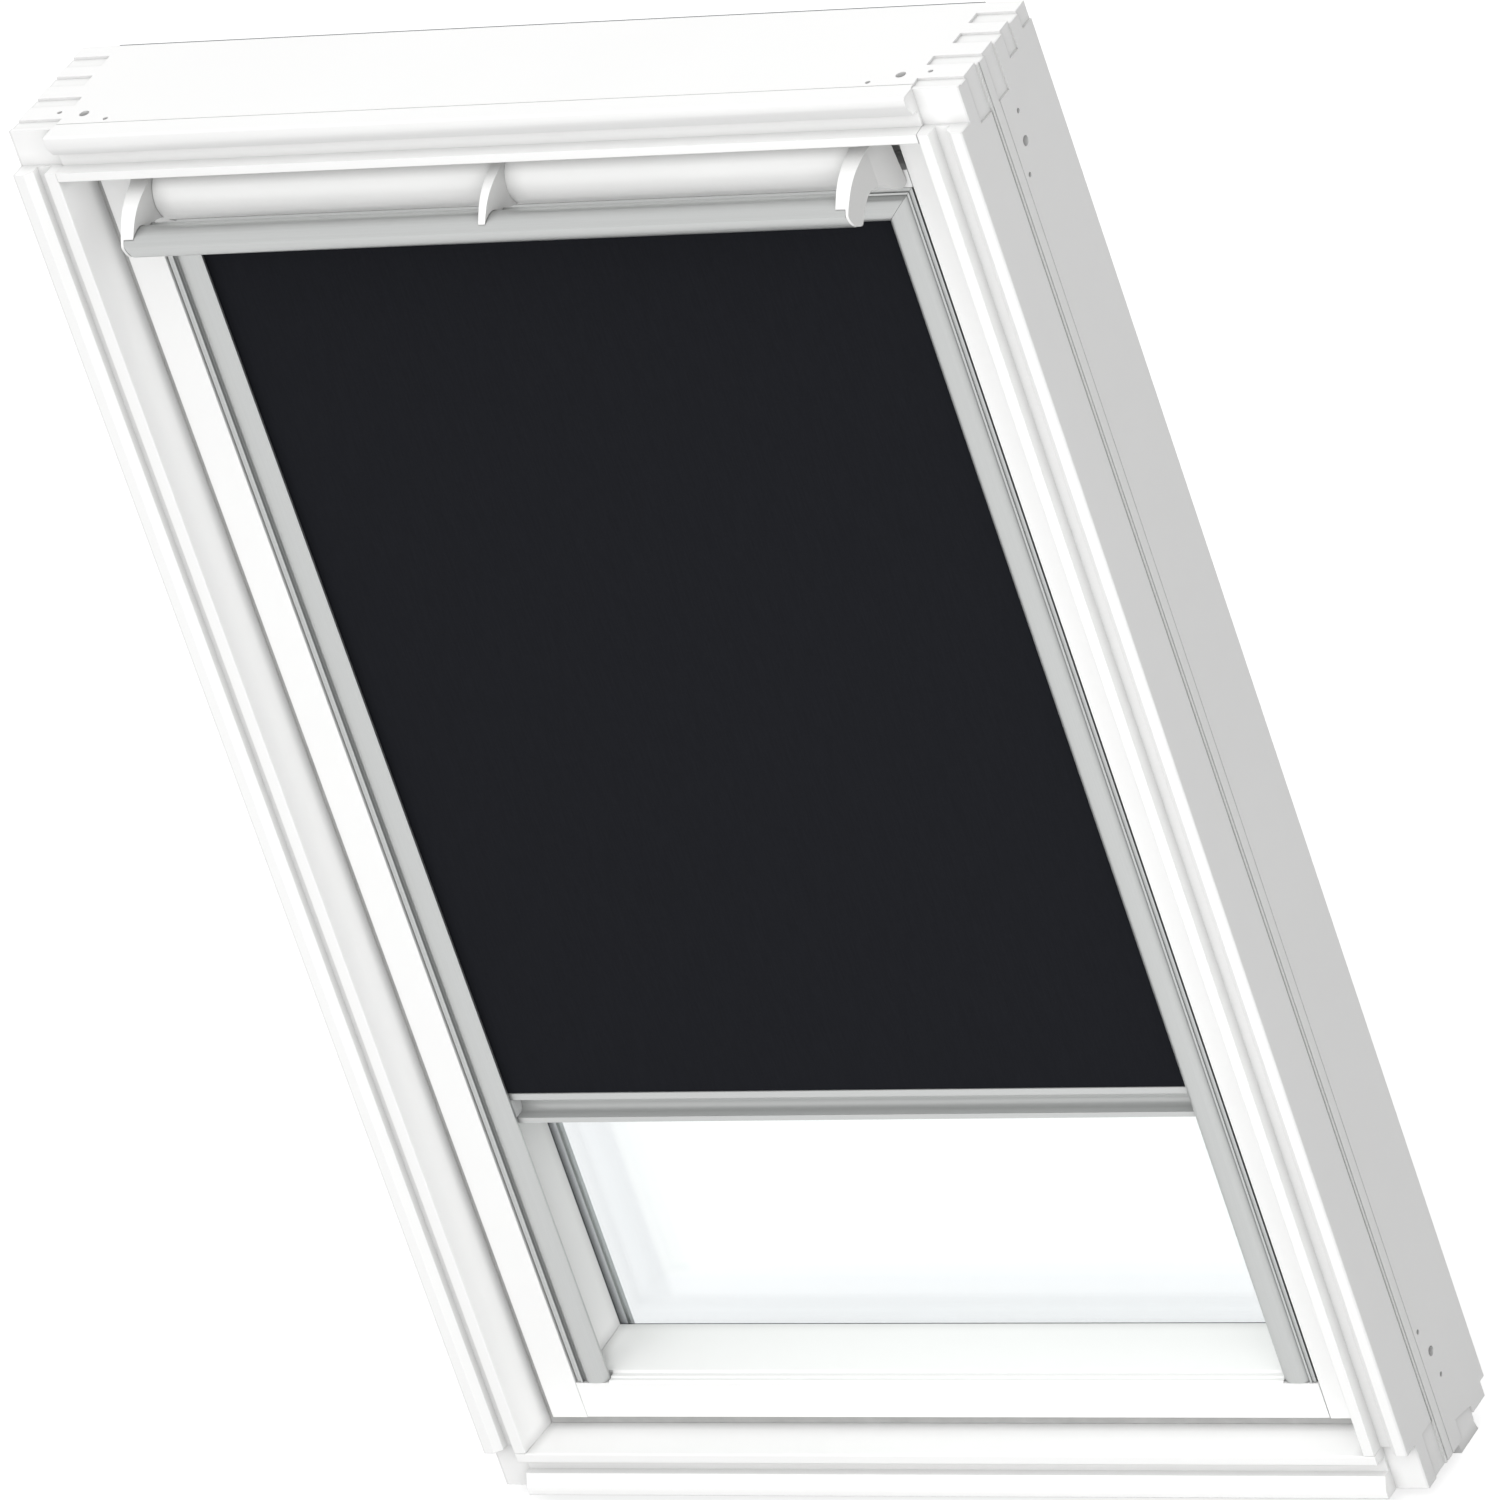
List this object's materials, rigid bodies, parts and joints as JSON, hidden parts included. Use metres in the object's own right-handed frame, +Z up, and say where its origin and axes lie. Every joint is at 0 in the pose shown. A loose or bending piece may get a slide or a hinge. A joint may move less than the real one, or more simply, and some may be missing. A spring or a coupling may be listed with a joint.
{
  "type": "roof window with blind",
  "caption": "Centre-pivot roof window with a control bar and vent hood, and a roller blind running in side channels on its sash.",
  "frame": {"origin": "middle of the sill's flat underside", "axes": "+X to the right seen from the room, +Z up the roof slope along the window's height, -Y into the room"},
  "size_m": [0.78, 0.1594, 1.187],
  "materials": {
    "paint": "white lacquer, satin",
    "silver": "satin",
    "plastic": "satin",
    "grey_plastic": "matt",
    "rubber": "matt",
    "grey_rubber": "matt",
    "glass": "clear",
    "steel": "zinc plated",
    "cladding": "matt lacquer",
    "cloth": "blackout cloth"
  },
  "bodies": {
    "frame": {"frame_side_left": "paint", "frame_side_right": "paint", "frame_top": "paint", "frame_sill": "paint", "frame_seal": "grey_rubber", "frame_cover_left": "cladding", "frame_cover_right": "cladding", "frame_cover_top": "cladding", "frame_cover_sill": "cladding", "pivot_socket_left": "steel", "pivot_socket_right": "steel", "lock_strike": "steel"},
    "sash": {"sash_side_left": "paint", "sash_side_right": "paint", "sash_top": "paint", "sash_bottom": "paint", "seal_inner": "rubber", "pane_inner": "glass", "pane_spacer": "grey_plastic", "pane_outer": "glass", "seal_outer": "rubber", "sash_cover_left": "cladding", "sash_cover_right": "cladding", "sash_cover_top": "cladding", "sash_cover_bottom": "cladding", "pivot_pin_left": "steel", "pivot_pin_right": "steel", "flap_lug_left": "plastic", "flap_lug_right": "plastic", "lock_case": "steel", "blind_channel_left": "silver", "blind_channel_right": "silver", "blind_casing": "silver", "blind_housing": "silver", "housing_cap_left": "grey_plastic", "housing_cap_right": "grey_plastic", "cloth_lead": "cloth", "cloth": "cloth"},
    "flap": {"vent_hood": "plastic", "control_bar": "silver", "bar_arm_left": "plastic", "bar_arm_right": "plastic", "bar_arm_middle": "plastic"},
    "roller": {"roller_tube": "silver", "roller_plug_left": "grey_plastic", "roller_plug_right": "grey_plastic", "cloth_roll": "cloth"},
    "blind_bar": {"bottom_bar": "silver", "bar_slider_left": "grey_plastic", "bar_slider_right": "grey_plastic"}
  },
  "joints": [
    {"name": "sash_pivot", "type": "hinge", "parent": "frame", "child": "sash", "pos_m": [0, -0.002, 0.589], "axis": [1, 0, 0], "range_deg": [0, 150]},
    {"name": "control_bar_hinge", "type": "hinge", "parent": "sash", "child": "flap", "pos_m": [0, -0.0348, 1.0943], "axis": [1, 0, 0], "range_deg": [0, 35]},
    {"name": "blind_slide", "type": "slide", "parent": "sash", "child": "blind_bar", "axis": [0, 0, 1], "range_m": [-0.219, 0.728], "deforming": ["cloth"]},
    {"name": "roller_spin", "type": "hinge", "parent": "sash", "child": "roller", "pos_m": [0, -0.002, 1.0775], "axis": [1, 0, 0], "range_deg": [-3600, 1100]}
  ],
  "couplings": [
    {"joint": "roller_spin", "follows": "blind_slide", "rad_per_m": -84}
  ]
}
